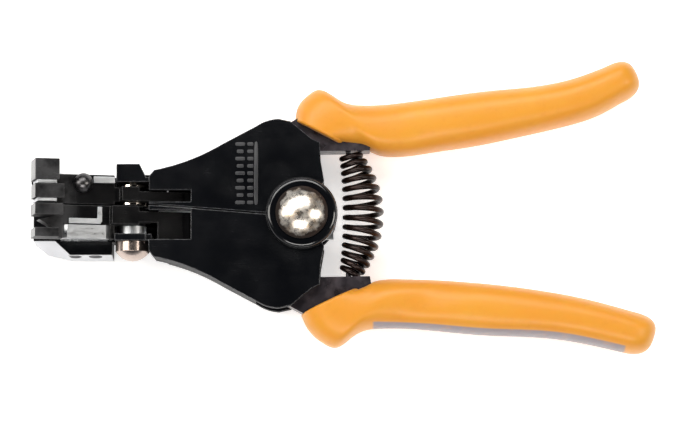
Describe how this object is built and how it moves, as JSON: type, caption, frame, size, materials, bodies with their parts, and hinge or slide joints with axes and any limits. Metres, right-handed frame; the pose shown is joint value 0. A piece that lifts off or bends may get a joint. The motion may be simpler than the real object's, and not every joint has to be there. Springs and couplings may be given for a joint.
{
  "type": "wire stripper",
  "caption": "Compound-action wire stripper: pivoted twin jaws close on the wire, then the two body halves spread and pull the insulation off; sprung handles with soft grips.",
  "frame": {"origin": "on the main pivot axis, at the flat rear end of the pivot stud, which lies in the rest plane", "axes": "+X towards the handles, +Y towards the gripping half, +Z out of the tool's face"},
  "size_m": [0.1751, 0.083, 0.0243],
  "materials": {
    "polished_steel": "bright polished, domed head of the pivot and of the jaw pin",
    "black_enamel": "gloss black stoved enamel on castings and plates",
    "jaw_enamel": "satin black on the front jaws",
    "tool_steel": "ground steel",
    "screw_steel": "turned steel",
    "spring_steel": "oil-blackened brown-black wire",
    "lever_steel": "blackened forged steel",
    "orange_grip": "smooth soft orange vinyl"
  },
  "bodies": {
    "pivot": {"pivot_stud": "polished_steel", "pivot_boss": "black_enamel", "pivot_rear_washer": "polished_steel", "return_spring": "spring_steel"},
    "gripper_half": {"gripper_frame": "black_enamel", "gripper_back_plate": "black_enamel", "gripper_plate_screws": "screw_steel", "gripper_jaw_pin": "polished_steel", "gripper_jaw_washers": "polished_steel", "gripper_rear_pad": "tool_steel", "upper_handle_pin": "tool_steel", "gripper_jaw_spring": "spring_steel"},
    "blade_half": {"blade_frame": "black_enamel", "blade_back_plate": "black_enamel", "blade_plate_screws": "screw_steel", "blade_jaw_pin": "polished_steel", "blade_jaw_spacer": "tool_steel", "rear_blade": "tool_steel", "rear_blade_screws": "screw_steel", "lower_handle_pin": "tool_steel", "blade_jaw_spring": "spring_steel"},
    "gripper_jaw": {"gripper_front_jaw": "jaw_enamel", "gripper_front_pad": "tool_steel", "gripper_pad_screw": "screw_steel", "gripper_clamp_bar": "tool_steel"},
    "blade_jaw": {"blade_front_jaw": "jaw_enamel", "front_blade": "tool_steel", "front_blade_screws": "screw_steel", "blade_keeper": "tool_steel"},
    "upper_handle": {"upper_lever": "lever_steel", "upper_grip": "orange_grip", "upper_spring_peg": "lever_steel"},
    "lower_handle": {"lower_lever": "lever_steel", "lower_grip": "orange_grip", "lower_spring_peg": "lever_steel"},
    "slide": {"cam_slide": "tool_steel", "cam_pin": "tool_steel"}
  },
  "joints": [
    {"name": "gripper_spread", "type": "hinge", "parent": "pivot", "child": "gripper_half", "pos_m": [0, 0, 0.0095], "axis": [0, 0, -1], "range_deg": [0, 5], "stiffness_Nm_per_rad": 8, "springref_deg": -1.72, "deforming": ["return_spring"]},
    {"name": "blade_spread", "type": "hinge", "parent": "pivot", "child": "blade_half", "pos_m": [0, 0, 0.0095], "axis": [0, 0, 1], "range_deg": [0, 5.01]},
    {"name": "upper_handle_squeeze", "type": "hinge", "parent": "gripper_half", "child": "upper_handle", "pos_m": [-0.009, 0.017, 0.0095], "axis": [0, 0, -1], "range_deg": [0, 10.01]},
    {"name": "lower_handle_squeeze", "type": "hinge", "parent": "blade_half", "child": "lower_handle", "pos_m": [-0.009, -0.017, 0.0095], "axis": [0, 0, 1], "range_deg": [0, 10.01]},
    {"name": "gripper_jaw_close", "type": "hinge", "parent": "gripper_half", "child": "gripper_jaw", "pos_m": [-0.0475, 0.0055, 0.0108], "axis": [0, -1, 0], "range_deg": [0, 14.01], "deforming": ["gripper_jaw_spring"]},
    {"name": "blade_jaw_close", "type": "hinge", "parent": "blade_half", "child": "blade_jaw", "pos_m": [-0.0475, -0.0005, 0.0108], "axis": [0, -1, 0], "range_deg": [0, 14.01], "deforming": ["blade_jaw_spring"]},
    {"name": "cam_travel", "type": "slide", "parent": "pivot", "child": "slide", "axis": [-1, 0, 0], "range_m": [0, 0.00281]}
  ],
  "couplings": [
    {"joint": "blade_spread", "follows": "gripper_spread", "ratio": 1},
    {"joint": "upper_handle_squeeze", "follows": "gripper_spread", "ratio": 2},
    {"joint": "lower_handle_squeeze", "follows": "gripper_spread", "ratio": 2},
    {"joint": "gripper_jaw_close", "follows": "gripper_spread", "ratio": 2.8},
    {"joint": "blade_jaw_close", "follows": "gripper_spread", "ratio": 2.8},
    {"joint": "cam_travel", "follows": "gripper_spread", "m_per_rad": 0.032086}
  ]
}
